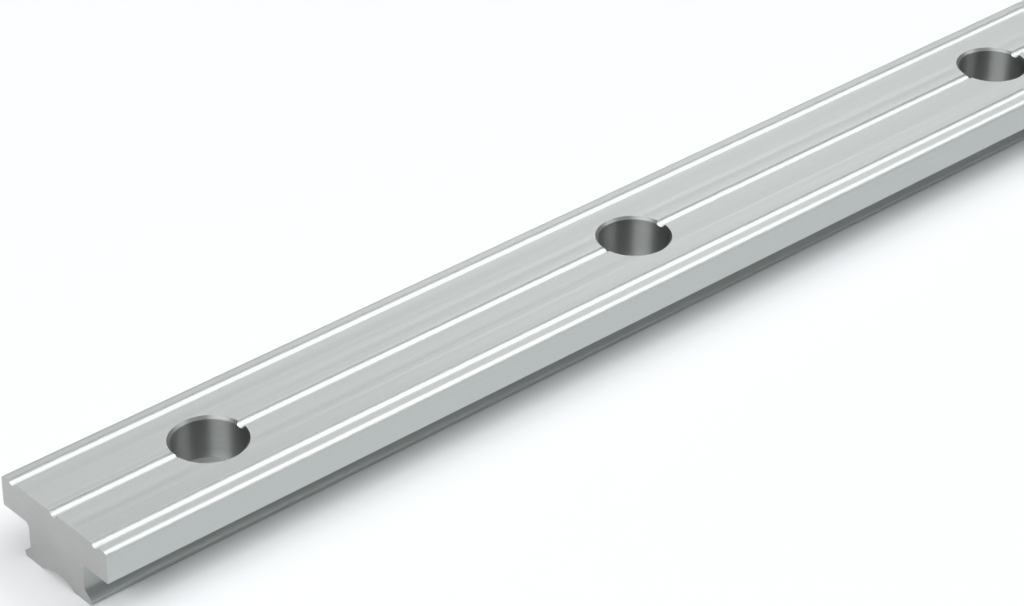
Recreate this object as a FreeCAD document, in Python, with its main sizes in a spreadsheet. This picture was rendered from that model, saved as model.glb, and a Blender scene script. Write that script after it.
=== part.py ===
import FreeCAD, Part
import os
import Sketcher

# How closely two lengths in millimetres have to agree to count as the same
SAME = 0.01

# A length of low I-section track for a ball bearing sail car, in silver anodised aluminium.
# The car's legs hook round the head and its balls run in the two channels under it.
# X runs along the track, Y across it and Z up from the deck that its two feet stand on.

os.makedirs("parts", exist_ok=True)
doc = FreeCAD.newDocument("sail_track")

# Driving dimensions in millimetres
dims = doc.addObject("Spreadsheet::Sheet", "Dims")
driving = {
    "bar_length": 1000,
    "bar_height": 14.0,
    # head: the flat plate that the car wraps around
    "head_width": 30.0,
    "head_depth": 6.3,
    "head_top_round": 1.0,
    "head_lip_round": 0.3,
    # web: wide enough to take the counterbored screw holes
    "web_width": 15.5,
    "web_round": 0.8,
    # feet: a flared base with an arch between, so that the bar beds on two strips. The edges
    # of the base lean in below its widest point, from the toes down to the soles
    "foot_width": 19.2,
    "sole_width": 18.5,
    "flare_start": 2.6,
    "foot_edge": 1.1,
    "toe_round": 0.2,
    "arch_width": 10.2,
    "arch_rise": 1.4,
    # grooves: three shallow flutes along the top of the head
    "groove_width": 2.0,
    "groove_depth": 0.75,
    "groove_offset": 11.8,
    # holes: one row of cap-screw holes on the centre line, as many as the length takes
    "hole_pitch": 100,
    "end_to_hole": 32.5,
    "screw_hole": 9.0,
    "seat_width": 13.4,
    "seat_depth": 8.5,
    "rim_chamfer": 0.5,
}
for row, (alias, value) in enumerate(driving.items(), start=1):
    dims.set(f"A{row}", alias)
    dims.set(f"B{row}", str(value))
    dims.setAlias(f"B{row}", alias)

# the far end keeps at least the same margin to its last hole as the near end has to its first
row = len(driving) + 1
dims.set(f"A{row}", "hole_count")
dims.set(f"B{row}", "=floor((bar_length - 2 * end_to_hole) / hole_pitch) + 1")
dims.setAlias(f"B{row}", "hole_count")
doc.recompute()


def dim(alias):
    """The value that the spreadsheet holds for one named dimension."""
    return float(dims.get(alias))


track = doc.addObject("PartDesign::Body", "Track")
track.Label = "track"


def origin_feature(role):
    """One of the body's own origin planes or axes."""
    return next(item for item in track.Origin.OriginFeatures if item.Role == role)


def new_sketch(name, role):
    """A sketch on one of the body's origin planes."""
    sketch = track.newObject("Sketcher::SketchObject", name)
    sketch.AttachmentSupport = (origin_feature(role), "")
    sketch.MapMode = "FlatFace"
    return sketch


def drive(sketch, name, constraint, formula):
    """Add a dimension to a sketch and bind it to the spreadsheet."""
    index = sketch.addConstraint(constraint)
    sketch.renameConstraint(index, name)
    sketch.setExpression(f"Constraints.{name}", formula)


def must_hold(feature, message):
    """Stop the build when a step has no valid result."""
    doc.recompute()
    if "Invalid" in feature.State or "Error" in feature.State or not feature.Shape.isValid():
        raise RuntimeError(f"{feature.Label}: {message}")


# Section: half of the outline is drawn, from the centre of the head round to the arch.
# Sketch x is the distance from the centre plane, sketch y the height above the deck.
section = new_sketch("Section", "YZ_Plane")
half_head = dim("head_width") / 2
half_web = dim("web_width") / 2
half_foot = dim("foot_width") / 2
half_sole = dim("sole_width") / 2
half_arch = dim("arch_width") / 2
head_underside = dim("bar_height") - dim("head_depth")
corners = [
    (0, dim("bar_height")),
    (half_head, dim("bar_height")),
    (half_head, head_underside),
    (half_web, head_underside),
    (half_web, dim("flare_start")),
    (half_foot, dim("foot_edge")),
    (half_sole, 0),
    (half_arch, 0),
]
START, END, CENTRE = range(1, 4)
VERTICAL_AXIS, HORIZONTAL_AXIS = range(-2, 0)
ORIGIN = (HORIZONTAL_AXIS, START)
for here, there in zip(corners, corners[1:]):
    side = Part.LineSegment(FreeCAD.Vector(*here, 0), FreeCAD.Vector(*there, 0))
    section.addGeometry(side, False)
TOP, SIDE, UNDERSIDE, WEB, FLARE, TOE, SOLE = range(len(corners) - 1)

# the arch between the feet is one arc: this half springs from the sole and ends at the crown
rise = dim("arch_rise")
arch_radius = (half_arch**2 + rise**2) / (2 * rise)
spring = FreeCAD.Vector(half_arch, 0, 0)
crown = FreeCAD.Vector(0, rise, 0)
centre = FreeCAD.Vector(0, rise - arch_radius, 0)
between = (crown + spring) * 0.5 - centre
halfway = centre + between.normalize() * arch_radius
ARCH = section.addGeometry(Part.Arc(spring, halfway, crown), False)
CUT = section.addGeometry(Part.LineSegment(crown, FreeCAD.Vector(*corners[0], 0)), False)

for first in range(SOLE):
    section.addConstraint(Sketcher.Constraint("Coincident", first, END, first + 1, START))
section.addConstraint(Sketcher.Constraint("Coincident", SOLE, END, ARCH, START))
section.addConstraint(Sketcher.Constraint("Coincident", ARCH, END, CUT, START))
section.addConstraint(Sketcher.Constraint("Coincident", CUT, END, TOP, START))
for level in (TOP, UNDERSIDE, SOLE):
    section.addConstraint(Sketcher.Constraint("Horizontal", level))
for upright in (SIDE, WEB):
    section.addConstraint(Sketcher.Constraint("Vertical", upright))
section.addConstraint(Sketcher.Constraint("PointOnObject", CUT, START, VERTICAL_AXIS))
section.addConstraint(Sketcher.Constraint("PointOnObject", CUT, END, VERTICAL_AXIS))
section.addConstraint(Sketcher.Constraint("PointOnObject", ARCH, CENTRE, VERTICAL_AXIS))
section.addConstraint(Sketcher.Constraint("PointOnObject", SOLE, START, HORIZONTAL_AXIS))


def across(name, edge, point, value, formula):
    """Distance of a point from the centre plane."""
    rule = Sketcher.Constraint("DistanceX", *ORIGIN, edge, point, value)
    drive(section, name, rule, formula)


def above(name, edge, point, value, formula):
    """Height of a point above the deck."""
    rule = Sketcher.Constraint("DistanceY", *ORIGIN, edge, point, value)
    drive(section, name, rule, formula)


across("half_head", SIDE, START, half_head, "Dims.head_width / 2")
across("half_web", WEB, START, half_web, "Dims.web_width / 2")
across("half_foot", TOE, START, half_foot, "Dims.foot_width / 2")
across("half_sole", SOLE, START, half_sole, "Dims.sole_width / 2")
across("half_arch", SOLE, END, half_arch, "Dims.arch_width / 2")
above("top", TOP, END, dim("bar_height"), "Dims.bar_height")
above("underside", SIDE, END, head_underside, "Dims.bar_height - Dims.head_depth")
above("flare_start", WEB, END, dim("flare_start"), "Dims.flare_start")
above("foot_edge", TOE, START, dim("foot_edge"), "Dims.foot_edge")
above("arch_rise", CUT, START, dim("arch_rise"), "Dims.arch_rise")

# Bar: the half section is run out along X, equally to both sides of the middle, and mirrored
bar = track.newObject("PartDesign::Pad", "HalfBar")
bar.Profile = section
bar.SideType = "Symmetric"
bar.setExpression("Length", "Dims.bar_length")
must_hold(bar, "the half section does not close")

whole = track.newObject("PartDesign::Mirrored", "WholeBar")
whole.Originals = [bar]
whole.MirrorPlane = (origin_feature("XZ_Plane"), [""])
track.Tip = whole
must_hold(whole, "the two halves do not join")


def long_edges(feature, points):
    """Names of the straight edges along X that pass through the given (y, z) points."""
    names = []
    for number, edge in enumerate(feature.Shape.Edges, start=1):
        begin = edge.Vertexes[0].Point
        finish = edge.Vertexes[-1].Point
        if abs(abs(finish.x - begin.x) - dim("bar_length")) > SAME:
            continue
        if any(abs(begin.y - y) < SAME and abs(begin.z - z) < SAME for y, z in points):
            names.append(f"Edge{number}")
    return names


def round_edges(name, feature, corners, formula):
    """Round the long edges at these corners of the section, on both sides of the bar."""
    points = [(side * y, z) for y, z in corners for side in (-1, 1)]
    edges = long_edges(feature, points)
    if len(edges) != len(points):
        raise RuntimeError(f"{name}: found {len(edges)} edges to round")
    fillet = track.newObject("PartDesign::Fillet", name)
    fillet.Base = (feature, edges)
    fillet.setExpression("Radius", formula)
    track.Tip = fillet
    must_hold(fillet, "the edges do not round")
    return fillet


# Rounds of the die: generous at the top of the head, small at its lips and round the toes
bar_top = dim("bar_height")
top_edge = (half_head, bar_top)
lip_edge = (half_head, head_underside)
web_corners = [(half_web, head_underside), (half_web, dim("flare_start"))]
toe_edges = [(half_foot, dim("foot_edge")), (half_sole, 0)]
step = round_edges("HeadTop", whole, [top_edge], "Dims.head_top_round")
step = round_edges("HeadLip", step, [lip_edge], "Dims.head_lip_round")
step = round_edges("WebCorner", step, web_corners, "Dims.web_round")
step = round_edges("Toe", step, toe_edges, "Dims.toe_round")

# Holes: one counterbored hole is drilled from the top of the head, then repeated along the bar
spot = new_sketch("FirstHole", "XY_Plane")
spot.setExpression("AttachmentOffset.Base.z", "Dims.bar_height")
first_x = dim("end_to_hole") - dim("bar_length") / 2
middle = FreeCAD.Vector(first_x, 0, 0)
upright = FreeCAD.Vector(0, 0, 1)
spot.addGeometry(Part.Circle(middle, upright, dim("screw_hole") / 2), False)
spot.addConstraint(Sketcher.Constraint("PointOnObject", 0, CENTRE, HORIZONTAL_AXIS))
from_middle = Sketcher.Constraint("DistanceX", 0, CENTRE, *ORIGIN, -first_x)
drive(spot, "from_middle", from_middle, "Dims.bar_length / 2 - Dims.end_to_hole")
across_hole = Sketcher.Constraint("Diameter", 0, dim("screw_hole"))
drive(spot, "across_hole", across_hole, "Dims.screw_hole")

drill = track.newObject("PartDesign::Hole", "ScrewHole")
drill.Profile = spot
doc.recompute()
drill.ThreadType = "None"
drill.DepthType = "ThroughAll"
drill.HoleCutType = "Counterbore"
drill.HoleCutCustomValues = True
drill.setExpression("Diameter", "Dims.screw_hole")
drill.setExpression("HoleCutDiameter", "Dims.seat_width")
drill.setExpression("HoleCutDepth", "Dims.seat_depth")
before = step.Shape.Volume
must_hold(drill, "the first hole is not cut")
one_hole = before - drill.Shape.Volume

row_of_holes = track.newObject("PartDesign::LinearPattern", "HoleRow")
row_of_holes.Originals = [drill]
row_of_holes.Direction = (origin_feature("X_Axis"), [""])
row_of_holes.Mode = "Extent"
row_of_holes.setExpression("Length", "Dims.hole_pitch * (Dims.hole_count - 1)")
row_of_holes.setExpression("Occurrences", "Dims.hole_count")
track.Tip = row_of_holes
must_hold(row_of_holes, "the row of holes is not cut")
removed = before - row_of_holes.Shape.Volume
if round(removed / one_hole) != dim("hole_count"):
    raise RuntimeError("the pattern does not cut every hole")

# Rims: the mouth of every counterbore is eased with a countersink bit
mouths = []
for number, edge in enumerate(row_of_holes.Shape.Edges, start=1):
    if not isinstance(edge.Curve, Part.Circle):
        continue
    at_top = abs(edge.Curve.Center.z - bar_top) < SAME
    if at_top and abs(edge.Curve.Radius - dim("seat_width") / 2) < SAME:
        mouths.append(f"Edge{number}")
rims = track.newObject("PartDesign::Chamfer", "Rims")
rims.Base = (row_of_holes, mouths)
rims.setExpression("Size", "Dims.rim_chamfer")
track.Tip = rims
must_hold(rims, "the rims do not chamfer")

# Grooves: three arcs sunk in the top face, run through the whole length
flutes = new_sketch("Flutes", "YZ_Plane")
half_groove = dim("groove_width") / 2
groove_bottom = bar_top - dim("groove_depth")
formulas = ("-Dims.groove_offset", "0", "Dims.groove_offset")
for index, middle in enumerate((-dim("groove_offset"), 0.0, dim("groove_offset"))):
    left = FreeCAD.Vector(middle - half_groove, bar_top, 0)
    bottom = FreeCAD.Vector(middle, groove_bottom, 0)
    right = FreeCAD.Vector(middle + half_groove, bar_top, 0)
    bowl = flutes.addGeometry(Part.Arc(left, bottom, right), False)
    lid = flutes.addGeometry(Part.LineSegment(left, right), False)
    flutes.addConstraint(Sketcher.Constraint("Coincident", bowl, START, lid, START))
    flutes.addConstraint(Sketcher.Constraint("Coincident", bowl, END, lid, END))
    flutes.addConstraint(Sketcher.Constraint("Horizontal", lid))
    wide = Sketcher.Constraint("DistanceX", lid, START, lid, END, dim("groove_width"))
    drive(flutes, f"width_{index}", wide, "Dims.groove_width")
    high = Sketcher.Constraint("DistanceY", *ORIGIN, lid, START, bar_top)
    drive(flutes, f"top_{index}", high, "Dims.bar_height")
    bend = (half_groove**2 + dim("groove_depth") ** 2) / (2 * dim("groove_depth"))
    bend_formula = "((Dims.groove_width / 2) ^ 2 + Dims.groove_depth ^ 2) / (2 * Dims.groove_depth)"
    drive(flutes, f"bend_{index}", Sketcher.Constraint("Radius", bowl, bend), bend_formula)
    start_at = Sketcher.Constraint("DistanceX", *ORIGIN, lid, START, middle - half_groove)
    drive(flutes, f"start_{index}", start_at, f"{formulas[index]} - Dims.groove_width / 2")
before = rims.Shape.Volume
grooves = track.newObject("PartDesign::Pocket", "Grooves")
grooves.Profile = flutes
grooves.SideType = "Symmetric"
grooves.Type = "Length"
grooves.setExpression("Length", "Dims.bar_length")
track.Tip = grooves
must_hold(grooves, "the grooves are not cut")
if before - grooves.Shape.Volume < dim("bar_length") * dim("groove_width") * dim("groove_depth"):
    raise RuntimeError("the grooves cut too little")

# The finished bar is checked and written
doc.recompute()
for item in doc.Objects:
    if "Invalid" in item.State or "Error" in item.State:
        raise RuntimeError(f"{item.Label} is {item.State}")
shape = track.Shape
if not shape.isValid() or len(shape.Solids) != 1:
    raise RuntimeError("the track is not one valid solid")
shape.exportStep(f"parts/{track.Label}.step")
size = shape.BoundBox
print(f"size {size.XLength:.2f} x {size.YLength:.2f} x {size.ZLength:.2f} mm")
print(f"volume {shape.Volume / 1000:.2f} cm3, faces {len(shape.Faces)}")
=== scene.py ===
# %% [markdown]
# # A length of sail track
# This lesson dresses one length of low I-section aluminium track, the rail that a ball bearing
# sail car runs on. The real bar is pressed through a die, drilled, anodised in a satin silver
# and sawn to length. The solid model that is loaded here fixes every size. It could be shown as
# it is, but its small rounds have few facets, so the bar is modelled again with finer edges,
# inside exactly the same box.

# %% The solid model
import math

import bmesh
import bpy
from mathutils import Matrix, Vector


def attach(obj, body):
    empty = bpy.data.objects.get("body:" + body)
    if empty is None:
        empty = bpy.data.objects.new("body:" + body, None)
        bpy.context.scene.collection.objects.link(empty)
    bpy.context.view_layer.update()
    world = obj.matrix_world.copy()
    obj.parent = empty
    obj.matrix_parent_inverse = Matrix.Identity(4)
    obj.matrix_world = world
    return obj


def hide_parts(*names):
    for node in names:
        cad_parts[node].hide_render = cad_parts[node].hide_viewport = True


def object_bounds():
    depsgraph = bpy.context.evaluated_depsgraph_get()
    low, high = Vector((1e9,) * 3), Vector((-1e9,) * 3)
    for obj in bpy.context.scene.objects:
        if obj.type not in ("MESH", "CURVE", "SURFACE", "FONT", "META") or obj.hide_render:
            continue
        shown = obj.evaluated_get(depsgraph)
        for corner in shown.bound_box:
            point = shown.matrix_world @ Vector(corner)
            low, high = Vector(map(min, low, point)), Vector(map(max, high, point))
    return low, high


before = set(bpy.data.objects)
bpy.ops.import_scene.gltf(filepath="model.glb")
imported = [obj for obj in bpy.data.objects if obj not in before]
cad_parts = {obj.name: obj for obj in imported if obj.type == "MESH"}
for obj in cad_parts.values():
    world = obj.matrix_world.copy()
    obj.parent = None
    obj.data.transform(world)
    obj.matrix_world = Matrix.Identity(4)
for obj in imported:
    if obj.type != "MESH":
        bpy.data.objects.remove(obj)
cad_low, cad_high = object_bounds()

MM = 0.001
SQUARE = math.radians(90)
LEFT_END = cad_low.x
RIGHT_END = cad_high.x
print("solid model, mm:", [round(side / MM, 2) for side in cad_high - cad_low])

# %% [markdown]
# ## A metal to start from
# Every surface of the bar is metal, so every finish starts from the same shader: fully metallic,
# with a colour and a roughness that a pattern then varies from place to place. The nodes and
# links could be written out in full for each finish. A few small helpers keep the cells short
# instead, and each of them does one thing.


# %% One metal, and one link between its nodes
def new_metal(name, rough):
    """A metal material with its node tree and its shader; rough is its middle roughness."""
    material = bpy.data.materials.new(name)
    material.use_nodes = True
    tree = material.node_tree
    shader = tree.nodes["Principled BSDF"]
    shader.inputs["Metallic"].default_value = 1.0
    shader.inputs["Roughness"].default_value = rough
    return material, tree, shader


def join(tree, output, target):
    """Link one socket to another."""
    tree.links.new(output, target)


# %% [markdown]
# ## Patterns in real size
# Marks that a tool leaves have a real size, so the patterns are measured in metres along the
# object's own axes. Painted textures would do it too, but they would have to be drawn for a bar
# a metre long. Noise is stretched by the number of its waves per metre along each axis: few
# waves along X and many across it make lines that run along the bar.


# %% Noise and arithmetic
def own_metres(tree, scale=(1, 1, 1)):
    """The object's own coordinates, multiplied by one number for each axis."""
    place = tree.nodes.new("ShaderNodeTexCoord")
    fit = tree.nodes.new("ShaderNodeMapping")
    fit.inputs["Scale"].default_value = scale
    join(tree, place.outputs["Object"], fit.inputs["Vector"])
    return fit.outputs["Vector"]


def noise(tree, waves, detail=2.0):
    """Noise with its own number of waves per metre along X, Y and Z."""
    pattern = tree.nodes.new("ShaderNodeTexNoise")
    pattern.inputs["Scale"].default_value = 1.0
    pattern.inputs["Detail"].default_value = detail
    join(tree, own_metres(tree, waves), pattern.inputs["Vector"])
    return pattern.outputs["Fac"]


def between(tree, value, low, high):
    """Spread noise, which lies mostly between 0.3 and 0.7, over a range of its own."""
    spread = tree.nodes.new("ShaderNodeMapRange")
    spread.inputs["From Min"].default_value = 0.3
    spread.inputs["From Max"].default_value = 0.7
    spread.inputs["To Min"].default_value = low
    spread.inputs["To Max"].default_value = high
    join(tree, value, spread.inputs["Value"])
    return spread.outputs["Result"]


def maths(tree, operation, first, second=0.0):
    """One step of arithmetic; the second value is a socket or a number."""
    step = tree.nodes.new("ShaderNodeMath")
    step.operation = operation
    join(tree, first, step.inputs[0])
    if isinstance(second, float):
        step.inputs[1].default_value = second
    else:
        join(tree, second, step.inputs[1])
    return step.outputs["Value"]


# %% What a pattern changes: the colour, or the height of the surface
def tint(tree, shader, colour, strength):
    """Multiply one metal colour by a value that varies over the surface."""
    mix = tree.nodes.new("ShaderNodeVectorMath")
    mix.operation = "SCALE"
    mix.inputs[0].default_value = colour
    join(tree, strength, mix.inputs["Scale"])
    join(tree, mix.outputs["Vector"], shader.inputs["Base Color"])


def relief(tree, shader, height, depth):
    """Raise the surface by a pattern; depth is in metres."""
    bump = tree.nodes.new("ShaderNodeBump")
    bump.inputs["Strength"].default_value = 1.0
    bump.inputs["Distance"].default_value = depth
    join(tree, height, bump.inputs["Height"])
    join(tree, bump.outputs["Normal"], shader.inputs["Normal"])


# %% [markdown]
# ## The skin
# The skin came through the die, which drew fine lines along it and left broader bands between
# them. Etching then gave it a fine grain, and the anodising on top is satin and very slightly
# green. A plain grey metal would have the right brightness, but its highlights would be round
# spots. Die lines scatter light across the bar far more than along it, so the highlight is
# drawn out across the bar. The shader does that with anisotropy, and its tangent says in which
# direction: square to the bar's length and to the way the surface faces.

# %% The pattern of the skin
SKIN_COLOUR = (0.573, 0.6, 0.59)
DIE_LINE_WAVES = (3, 1400, 1400)
BROAD_BAND_WAVES = (1, 170, 170)
ETCHED_GRAIN_WAVES = (1800, 1800, 1800)
DIE_LINE_HEIGHT = 0.0015 * MM

skin, tree, shader = new_metal("satin_anodised", 0.42)
die_lines = noise(tree, DIE_LINE_WAVES, detail=3.0)
broad_bands = noise(tree, BROAD_BAND_WAVES)
etched_grain = noise(tree, ETCHED_GRAIN_WAVES)
lined = between(tree, die_lines, 0.975, 1.025)
banded = between(tree, broad_bands, 0.985, 1.015)
grained = between(tree, etched_grain, 0.985, 1.015)
shade = maths(tree, "MULTIPLY", maths(tree, "MULTIPLY", lined, banded), grained)
tint(tree, shader, SKIN_COLOUR, shade)
join(tree, between(tree, die_lines, 0.39, 0.46), shader.inputs["Roughness"])
relief(tree, shader, die_lines, DIE_LINE_HEIGHT)

# %% The direction in which the skin scatters light
shader.inputs["Anisotropic"].default_value = 0.85
facing = tree.nodes.new("ShaderNodeNewGeometry")
crosswise = tree.nodes.new("ShaderNodeVectorMath")
crosswise.operation = "CROSS_PRODUCT"
crosswise.inputs[1].default_value = (1, 0, 0)
join(tree, facing.outputs["Normal"], crosswise.inputs[0])
join(tree, crosswise.outputs["Vector"], shader.inputs["Tangent"])
print("skin:", skin.name, "with", len(tree.nodes), "nodes")

# %% [markdown]
# ## The bores
# A turning tool leaves rings round the wall of a bore. They scatter light up and down the wall,
# so the highlight is an upright streak. The wall's colour is darker than the skin: that is
# painted shade, standing for the shade inside the deep bore. The rings could be cut into the
# mesh, but they are far finer than a pixel. Noise with many waves along Z and few along X and Y
# gives them, and here the tangent stands upright.

# %% The finish of the bores
# The bore's colour is darkened to stand for the shade inside the deep hole: painted shade.
BORE_PAINTED_SHADE_COLOUR = (0.335, 0.35, 0.342)
RING_WAVES = (70, 70, 3200)
TOOL_MARK_HEIGHT = 0.004 * MM

bore, tree, shader = new_metal("turned_bore", 0.49)
rings = noise(tree, RING_WAVES)
tint(tree, shader, BORE_PAINTED_SHADE_COLOUR, between(tree, rings, 0.96, 1.04))
join(tree, between(tree, rings, 0.46, 0.52), shader.inputs["Roughness"])
relief(tree, shader, rings, TOOL_MARK_HEIGHT)
shader.inputs["Anisotropic"].default_value = 0.93
upward = tree.nodes.new("ShaderNodeCombineXYZ")
upward.inputs["Z"].default_value = 1.0
join(tree, upward.outputs["Vector"], shader.inputs["Tangent"])
print("bores:", bore.name, "with", len(tree.nodes), "nodes")

# %% [markdown]
# ## The seats
# The flat floor that a screw's head sits on is faced by a turning tool too, which leaves circles
# round the middle of each hole. Ten patterns could be laid down, one for each hole. As the
# holes stand evenly, the place along the bar is folded instead: what remains after division by
# the pitch is the same at every hole. The distance from the middle then drives the noise.


# %% Circles from a distance
def long_side(tree, first, second):
    """The long side of a right triangle with these two short sides."""
    squares = (maths(tree, "MULTIPLY", side, side) for side in (first, second))
    return maths(tree, "SQRT", maths(tree, "ADD", *squares))


def circles(tree, radius, waves, detail):
    """Noise that changes only with the radius, with a number of waves per metre."""
    pattern = tree.nodes.new("ShaderNodeTexNoise")
    pattern.noise_dimensions = "1D"
    pattern.inputs["Scale"].default_value = waves
    pattern.inputs["Detail"].default_value = detail
    join(tree, radius, pattern.inputs["W"])
    return pattern.outputs["Fac"]


# %% The finish of the seats
PITCH = 100.0 * MM
HOLES = 10
FIRST_HOLE = LEFT_END + 32.5 * MM
SEAT_COLOUR = (0.66, 0.68, 0.67)

seat, tree, shader = new_metal("faced_seat", 0.62)
spot = tree.nodes.new("ShaderNodeSeparateXYZ")
join(tree, own_metres(tree), spot.inputs["Vector"])
along = maths(tree, "SUBTRACT", spot.outputs["X"], FIRST_HOLE - PITCH / 2)
folded = maths(tree, "MODULO", maths(tree, "ADD", along, HOLES * PITCH), PITCH)
from_hole = maths(tree, "SUBTRACT", folded, PITCH / 2)
tool_marks = circles(tree, long_side(tree, from_hole, spot.outputs["Y"]), 3000.0, 2.0)
tint(tree, shader, SEAT_COLOUR, between(tree, tool_marks, 0.95, 1.05))
join(tree, between(tree, tool_marks, 0.57, 0.67), shader.inputs["Roughness"])
relief(tree, shader, tool_marks, TOOL_MARK_HEIGHT)
print("seats:", seat.name, "with", len(tree.nodes), "nodes")

# %% [markdown]
# ## The sawn ends
# The bar was cut to length after it was anodised, so its ends are bare, a little greyer, and
# marked by the blade. A round blade leaves arcs round its own centre, which lay below the bar
# and to one side. Straight scratches would be simpler, but they are the mark of a hacksaw. The
# circles of the seats serve again, with a blade's centre in place of a hole's.

# %% The finish of the sawn ends
SAWN_COLOUR = (0.47, 0.47, 0.462)
BLADE_CENTRE_Y = 30.0 * MM
BLADE_CENTRE_Z = -110.0 * MM
STAIN_WAVES = (150, 150, 150)
SAW_MARK_HEIGHT = 0.006 * MM

sawn, tree, shader = new_metal("sawn_end", 0.4)
spot = tree.nodes.new("ShaderNodeSeparateXYZ")
join(tree, own_metres(tree), spot.inputs["Vector"])
blade_y = maths(tree, "SUBTRACT", spot.outputs["Y"], BLADE_CENTRE_Y)
blade_z = maths(tree, "SUBTRACT", spot.outputs["Z"], BLADE_CENTRE_Z)
saw_marks = circles(tree, long_side(tree, blade_y, blade_z), 2200.0, 3.0)
marked = between(tree, saw_marks, 0.95, 1.05)
stained = between(tree, noise(tree, STAIN_WAVES), 0.97, 1.03)
tint(tree, shader, SAWN_COLOUR, maths(tree, "MULTIPLY", marked, stained))
join(tree, between(tree, saw_marks, 0.36, 0.46), shader.inputs["Roughness"])
relief(tree, shader, saw_marks, SAW_MARK_HEIGHT)
print("sawn ends:", sawn.name, "with", len(tree.nodes), "nodes")

# %% [markdown]
# ## Picking by place
# By hand one would click on faces and edges. In a script they are picked by where they are or
# which way they face. Two small helpers do that in edit mode, and always start from nothing
# selected, because an operator acts on everything that is still selected.


# %% Helpers for picking
def pick_faces(test):
    """Select only the faces whose middle and normal pass the test."""
    mesh = bmesh.from_edit_mesh(bpy.context.object.data)
    bpy.ops.mesh.select_mode(type="FACE")
    bpy.ops.mesh.select_all(action="DESELECT")
    for face in mesh.faces:
        face.select_set(test(face.calc_center_median(), face.normal))
    bmesh.update_edit_mesh(bpy.context.object.data)
    return sum(face.select for face in mesh.faces)


def pick_edges(test):
    """Select only the edges whose two ends both pass the test."""
    mesh = bmesh.from_edit_mesh(bpy.context.object.data)
    bpy.ops.mesh.select_mode(type="EDGE")
    bpy.ops.mesh.select_all(action="DESELECT")
    for edge in mesh.edges:
        edge.select_set(all(test(vertex.co) for vertex in edge.verts))
    bmesh.update_edit_mesh(bpy.context.object.data)
    return sum(edge.select for edge in mesh.edges)


def near(a, b):
    """True where two lengths agree to a thousandth of a millimetre."""
    return abs(a - b) < 0.001 * MM


# %% Opening and closing a piece
def edit(thing):
    """Make one object the only selected one and open it in edit mode."""
    bpy.ops.object.select_all(action="DESELECT")
    thing.select_set(True)
    bpy.context.view_layer.objects.active = thing
    bpy.ops.object.mode_set(mode="EDIT")


def leave_edit():
    """Close edit mode."""
    bpy.ops.object.mode_set(mode="OBJECT")


def settle():
    """Put the new object's place, turn and size into its mesh."""
    bpy.ops.object.transform_apply(location=True, rotation=True, scale=True)


# %% [markdown]
# ## One pitch of the bar
# The holes stand 100 mm apart, so the bar is ten equal lengths, each with one hole. It is
# modelled once, as one pitch, and repeated by an Array modifier later. X runs along the bar, Y
# across it and Z up from the deck. The outline could be drawn point by point. Starting from a
# block as wide as the web is quicker: three cuts mark the heights where the outline changes,
# and then only sideways moves are left.

# %% The block and its three levels
BAR_HEIGHT = 14.0 * MM
WEB_WIDTH = 15.5 * MM
UNDERSIDE = BAR_HEIGHT - 6.3 * MM
FLARE_START = 2.6 * MM
FOOT_EDGE = 1.1 * MM

bpy.ops.object.select_all(action="DESELECT")
bpy.ops.mesh.primitive_cube_add(
    size=1.0,
    location=(LEFT_END + PITCH / 2, 0.0, BAR_HEIGHT / 2),
    scale=(PITCH, WEB_WIDTH, BAR_HEIGHT),
)
track = bpy.context.object
track.name = "track_bar"
track.data.name = "track_bar"
settle()
track.data.materials.append(skin)
edit(track)
for level in (FOOT_EDGE, FLARE_START, UNDERSIDE):
    bpy.ops.mesh.select_all(action="SELECT")
    bpy.ops.mesh.bisect(plane_co=(0, 0, level), plane_no=(0, 0, 1))
leave_edit()
print("block:", len(track.data.polygons), "faces")

# %% [markdown]
# ## The head and the feet
# The car wraps the wide head, and the feet spread the load on the deck. The head is drawn out of
# the block's two sides, as extra width on top of the web. The feet need no new faces: spreading
# the edges near the deck leans the faces above them into flares, and drawing the lowest edges
# in again gives the toes their slight lean.

# %% The head is drawn out to both sides
HEAD_WIDTH = 30.0 * MM

edit(track)
picked = pick_faces(lambda at, facing: abs(facing.y) > 0.9 and at.z > UNDERSIDE)
bpy.ops.mesh.extrude_region_move(TRANSFORM_OT_translate={"value": (0, 0, 0)})
bpy.ops.transform.resize(value=(1, HEAD_WIDTH / WEB_WIDTH, 1), center_override=(0, 0, 0))
print("head: sides drawn out", picked)

# %% The feet are spread and the soles drawn in
FOOT_WIDTH = 19.2 * MM
SOLE_WIDTH = 18.5 * MM

pick_edges(lambda at: at.z < FOOT_EDGE + 0.1 * MM)
bpy.ops.transform.resize(value=(1, FOOT_WIDTH / WEB_WIDTH, 1), center_override=(0, 0, 0))
pick_edges(lambda at: near(at.z, 0.0))
bpy.ops.transform.resize(value=(1, SOLE_WIDTH / FOOT_WIDTH, 1), center_override=(0, 0, 0))
leave_edit()
print("outline, mm:", [round(side / MM, 2) for side in track.dimensions])

# %% [markdown]
# ## Rounds
# A die never leaves a sharp edge. The bevel tool cuts each long edge back by a distance and
# fills in an arc. At a square corner that distance is the radius, and at a blunter one it is
# the radius times the tangent of half the turn. The top of the head has the largest round:
# it carries the bright line along the near edge of the bar.

# %% Round the long edges
FLARE_TURN = math.atan2((FOOT_WIDTH - WEB_WIDTH) / 2, FLARE_START - FOOT_EDGE)
LEAN = math.atan2((FOOT_WIDTH - SOLE_WIDTH) / 2, FOOT_EDGE)

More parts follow.
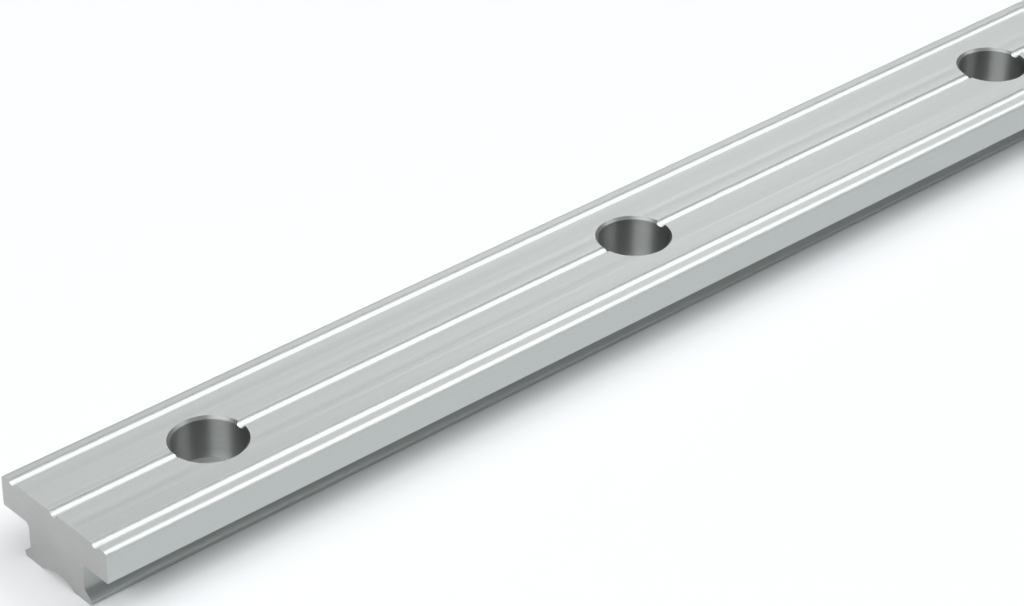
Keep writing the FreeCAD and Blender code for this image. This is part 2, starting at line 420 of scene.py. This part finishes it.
# width of the bar at the edge, height of the edge, radius, turn, segments of the arc
rounds = (
    (HEAD_WIDTH, BAR_HEIGHT, 1.0 * MM, SQUARE, 10),
    (HEAD_WIDTH, UNDERSIDE, 0.3 * MM, SQUARE, 6),
    (WEB_WIDTH, UNDERSIDE, 0.8 * MM, SQUARE, 8),
    (WEB_WIDTH, FLARE_START, 0.8 * MM, FLARE_TURN, 5),
    (FOOT_WIDTH, FOOT_EDGE, 0.2 * MM, FLARE_TURN + LEAN, 5),
    (SOLE_WIDTH, 0.0, 0.2 * MM, SQUARE - LEAN, 5),
)
edit(track)
for width, height, radius, turn, segments in rounds:
    picked = pick_edges(lambda at: near(abs(at.y), width / 2) and near(at.z, height))
    bpy.ops.mesh.bevel(
        offset=radius * math.tan(turn / 2),
        segments=segments,
        profile=0.5,
        affect="EDGES",
        clamp_overlap=False,
    )
    print("rounded", picked, "edges at", round(height / MM, 2), "mm")
leave_edit()

# %% [markdown]
# ## Flutes and arch
# The three flutes in the top and the arch between the feet are parts of circles. They could be
# bent out of the flat faces, but never quite true. A long cylinder laid along the bar and taken
# away with a Boolean modifier cuts each of them exactly. The radius follows from the width and
# the depth of the arc.


# %% Cut one shape out of another
def cut_with(cutter):
    """Take the cutter's shape out of the track and remove the cutter."""
    bpy.ops.object.select_all(action="DESELECT")
    track.select_set(True)
    bpy.context.view_layer.objects.active = track
    cut = track.modifiers.new("cut", "BOOLEAN")
    cut.operation = "DIFFERENCE"
    cut.solver = "EXACT"
    cut.material_mode = "TRANSFER"
    cut.object = cutter
    bpy.ops.object.modifier_apply(modifier=cut.name)
    bpy.data.objects.remove(cutter)


def arc_radius(width, depth):
    """Radius of the circle whose arc is this wide and this deep."""
    return ((width / 2) ** 2 + depth**2) / (2 * depth)


def long_cutter(radius, y, z, sides):
    """A cylinder along the bar, a little longer than one pitch."""
    bpy.ops.object.select_all(action="DESELECT")
    bpy.ops.mesh.primitive_cylinder_add(
        vertices=sides,
        radius=radius,
        depth=PITCH * 1.2,
        location=(LEFT_END + PITCH / 2, y, z),
        rotation=(0, SQUARE, 0),
    )
    settle()
    return bpy.context.object


# %% Three flutes in the top
FLUTE_WIDTH = 2.0 * MM
FLUTE_DEPTH = 0.75 * MM
FLUTE_OFFSET = 11.8 * MM
FLUTE_SIDES = 88

flute_radius = arc_radius(FLUTE_WIDTH, FLUTE_DEPTH)
for y in (-FLUTE_OFFSET, 0.0, FLUTE_OFFSET):
    cut_with(long_cutter(flute_radius, y, BAR_HEIGHT - FLUTE_DEPTH + flute_radius, FLUTE_SIDES))
print("flute radius, mm:", round(flute_radius / MM, 3))

# %% The arch between the feet
ARCH_WIDTH = 10.2 * MM
ARCH_RISE = 1.4 * MM
ARCH_SIDES = 144

arch_radius = arc_radius(ARCH_WIDTH, ARCH_RISE)
cut_with(long_cutter(arch_radius, 0.0, ARCH_RISE - arch_radius, ARCH_SIDES))
print("arch radius, mm:", round(arch_radius / MM, 3))

# %% [markdown]
# ## The screw hole
# Each hole is a through hole with a wide, flat-bottomed bore above it for the screw's head, and
# its mouth is eased with a small countersink. Three cuts would do it. One cutter with the shape
# of all three leaves cleaner edges. It starts as a cylinder as wide as the bore. Its lower face
# is copied, narrowed and drawn down for the through hole, and its upper face is drawn up and
# widened for the rim. The Boolean hands the cutter's materials on to the walls that it leaves.

# %% A cutter as wide as the bore
SCREW_HOLE = 9.0 * MM
BORE_WIDTH = 13.4 * MM
SEAT_FLOOR = BAR_HEIGHT - 8.5 * MM
RIM = 0.5 * MM
HOLE_SIDES = 128

bpy.ops.object.select_all(action="DESELECT")
bpy.ops.mesh.primitive_cylinder_add(
    vertices=HOLE_SIDES,
    radius=BORE_WIDTH / 2,
    depth=BAR_HEIGHT - RIM - SEAT_FLOOR,
    location=(FIRST_HOLE, 0.0, (BAR_HEIGHT - RIM + SEAT_FLOOR) / 2),
)
drill = bpy.context.object
settle()
drill.data.materials.append(bore)
drill.data.materials.append(seat)
print("bore, mm:", [round(side / MM, 2) for side in drill.dimensions])

# %% The drill below it and the countersink above it
AXIS = (FIRST_HOLE, 0.0, SEAT_FLOOR)
PAST_THE_SOLE = 2.0 * MM
NARROW = SCREW_HOLE / BORE_WIDTH
WIDEN = (BORE_WIDTH + 4 * RIM) / BORE_WIDTH  # up by two rims, so out by two on either side

edit(drill)
pick_faces(lambda at, facing: facing.z < -0.9)
bpy.ops.mesh.extrude_region_move(TRANSFORM_OT_translate={"value": (0, 0, 0)})
bpy.ops.transform.resize(value=(NARROW, NARROW, 1), center_override=AXIS)
down = -SEAT_FLOOR - PAST_THE_SOLE
bpy.ops.mesh.extrude_region_move(TRANSFORM_OT_translate={"value": (0, 0, down)})
pick_faces(lambda at, facing: facing.z > 0.9)
bpy.ops.mesh.extrude_region_move(TRANSFORM_OT_translate={"value": (0, 0, 2 * RIM)})
bpy.ops.transform.resize(value=(WIDEN, WIDEN, 1), center_override=AXIS)

# %% The seat gets its own finish, and the hole is cut
pick_faces(lambda at, facing: facing.z < -0.9 and near(at.z, SEAT_FLOOR))
drill.active_material_index = drill.data.materials.find(seat.name)
bpy.ops.object.material_slot_assign()
leave_edit()
print("whole cutter, mm:", [round(side / MM, 2) for side in drill.dimensions])
cut_with(drill)

# %% [markdown]
# ## Ten pitches in a row
# The bar could be joined from ten copies, but their end walls would stay inside it. So the two
# end faces of the pitch come off first. The Array modifier then repeats the open length and
# merges the seams, and each end of the bar is closed with one flat face, the sawn end.

# %% Take off the ends and repeat
edit(track)
pitch_ends = (LEFT_END, LEFT_END + PITCH)
pick_faces(
    lambda at, facing: abs(facing.x) > 0.999 and any(near(at.x, end) for end in pitch_ends)
)
bpy.ops.mesh.delete(type="FACE")
leave_edit()
row = track.modifiers.new("row", "ARRAY")
row.count = HOLES
row.use_relative_offset = False
row.use_constant_offset = True
row.constant_offset_displace = (PITCH, 0, 0)
row.use_merge_vertices = True
row.merge_threshold = 0.001 * MM
bpy.ops.object.modifier_apply(modifier=row.name)
print("bar length, mm:", round(track.dimensions.x / MM, 1))

# %% Close both ends
track.data.materials.append(sawn)
track.active_material_index = track.data.materials.find(sawn.name)
edit(track)
for end in (LEFT_END, RIGHT_END):
    picked = pick_edges(lambda at: near(at.x, end))
    bpy.ops.mesh.edge_face_add()
    bpy.ops.object.material_slot_assign()
    print("end closed with", picked, "edges")
bpy.ops.mesh.select_all(action="SELECT")
bpy.ops.mesh.normals_make_consistent(inside=False)
leave_edit()

# %% [markdown]
# ## Smooth rounds and flat flats
# The rounds are made of narrow facets and should look like one curve, while the flats must stay
# flat. Smoothing everything would drag the flats into the rounds. Smoothing by angle keeps the
# sharp corners, and weighted normals let the large flat faces decide how the light meets them.

# %% Smooth by angle
SHARP = math.radians(30)

bpy.ops.object.shade_smooth_by_angle(angle=SHARP)
weigh = track.modifiers.new("flats", "WEIGHTED_NORMAL")
weigh.keep_sharp = True
bpy.ops.object.modifier_apply(modifier=weigh.name)
print("track:", len(track.data.polygons), "faces,", len(track.data.vertices), "points")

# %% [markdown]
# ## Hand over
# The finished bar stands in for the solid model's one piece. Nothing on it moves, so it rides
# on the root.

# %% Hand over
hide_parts("track")
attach(track, "root")
print("handed over:", track.name)

# %% [markdown]
# ## Floor
# The photograph shows the bar cut out on white. Here it lies on a pale floor instead, so that
# its shadow says where it stands. Plain paper under this light comes out a little below white.
# It is lifted to white by a faint glow that only the camera and mirror-like rays can see, so
# the glow lights nothing and the shadow stays.

# %% Floor
FLOOR_SIZE = 60.0
FLOOR_GAP = 0.02 * MM
PAPER_GLOW = 0.05

bpy.ops.object.select_all(action="DESELECT")
bpy.ops.mesh.primitive_plane_add(size=FLOOR_SIZE, location=(0, 0, -FLOOR_GAP))
floor = bpy.context.object
floor.name = "floor"
paper = bpy.data.materials.new("pale_paper")
paper.use_nodes = True
tree = paper.node_tree
shader = tree.nodes["Principled BSDF"]
shader.inputs["Base Color"].default_value = (0.66, 0.673, 0.686, 1)
shader.inputs["Roughness"].default_value = 0.9
shader.inputs["Specular IOR Level"].default_value = 0.0
shader.inputs["Emission Color"].default_value = (1, 1, 1, 1)
ray = tree.nodes.new("ShaderNodeLightPath")
seen = maths(tree, "ADD", ray.outputs["Is Camera Ray"], ray.outputs["Is Glossy Ray"])
seen = maths(tree, "ADD", seen, ray.outputs["Is Transmission Ray"])
join(tree, maths(tree, "MULTIPLY", seen, PAPER_GLOW), shader.inputs["Emission Strength"])
floor.data.materials.append(paper)
print("floor, m:", [round(side, 1) for side in floor.dimensions])

# %% [markdown]
# ## Light
# Satin metal shows what stands round it. The white lines along the flutes and the near edge are
# the reflection of one bright panel halfway up on the right. The flat top shows the broad
# overhead panel, and grows a little lighter towards the far end, where it begins to show the
# panel beyond that end. The streak in each bore comes from a second bright panel, halfway up on
# the left. A faint panel low on the same side keeps the top from going black for somebody who
# looks at the bar from its other end. Each panel is a soft box that is placed by the direction
# from which it shines and by how large it looks from the bar, because those are the two things
# that a reflection shows. They stand six metres off, so the light is the same all along the bar.

# %% World
SKY_STRENGTH = 0.1

world = bpy.data.worlds.new("studio")
bpy.context.scene.world = world
world.use_nodes = True
sky = world.node_tree.nodes["Background"]
sky.inputs["Color"].default_value = (1, 1, 1, 1)
sky.inputs["Strength"].default_value = SKY_STRENGTH
print("sky strength:", SKY_STRENGTH)

# %% A soft box
LIT_SPOT = Vector((-0.3, 0.0, 0.0))
FAR_OFF = 6.0


def soft_box(name, azimuth, elevation, wide, high, radiance):
    """A panel of light; the first four numbers are angles in degrees, seen from the bar."""
    a, e = math.radians(azimuth), math.radians(elevation)
    towards = Vector((math.cos(a) * math.cos(e), math.sin(a) * math.cos(e), math.sin(e)))
    bpy.ops.object.light_add(
        type="AREA", location=LIT_SPOT + FAR_OFF * towards, rotation=(SQUARE - e, 0, a + SQUARE)
    )
    lamp = bpy.context.object
    lamp.name = name
    lamp.data.shape = "RECTANGLE"
    lamp.data.size = 2 * FAR_OFF * math.tan(math.radians(wide / 2))
    lamp.data.size_y = 2 * FAR_OFF * math.tan(math.radians(high / 2))
    lamp.data.energy = radiance * math.pi * lamp.data.size * lamp.data.size_y
    print(name, "%.2f x %.2f m" % (lamp.data.size, lamp.data.size_y))


# %% The soft boxes
soft_box("overhead", 48, 88, 60, 60, 1.8)
soft_box("right_high", 5, 56, 60, 22, 0.5)
soft_box("right_middle", -32, 49, 40, 16, 5.2)
soft_box("far_end", 16, 28, 52, 42, 0.62)
soft_box("left_high", 160, 47, 40, 26, 0.4)
soft_box("left_middle", 197, 42, 48, 22, 6.0)
soft_box("near_end", 180, 16, 60, 30, 0.65)

# %% [markdown]
# ## Camera
# The photograph looks down on the sawn end from the near left, from less than a metre away, and
# shows only the first three holes. The camera stands where the holes, the long edges and the
# end face all fall on their places in the photograph. It could be aimed by eye, but a rail
# shows the smallest error in angle, so its place and angles come from those measurements.

# %% Camera
CAMERA_PLACE = (-0.754968, -0.401591, 0.356566)
LOOKS_DOWN = math.radians(32.670)
HEADING = math.radians(48.365)

bpy.ops.object.camera_add(
    location=CAMERA_PLACE,
    rotation=(SQUARE - LOOKS_DOWN, 0, HEADING - SQUARE),
)
camera = bpy.context.object
camera.data.sensor_width = 36.0
camera.data.lens = 122.887
camera.data.clip_end = 100
bpy.context.scene.camera = camera
bpy.context.scene.view_settings.view_transform = "Standard"
print("camera: lens", round(camera.data.lens, 1), "mm")
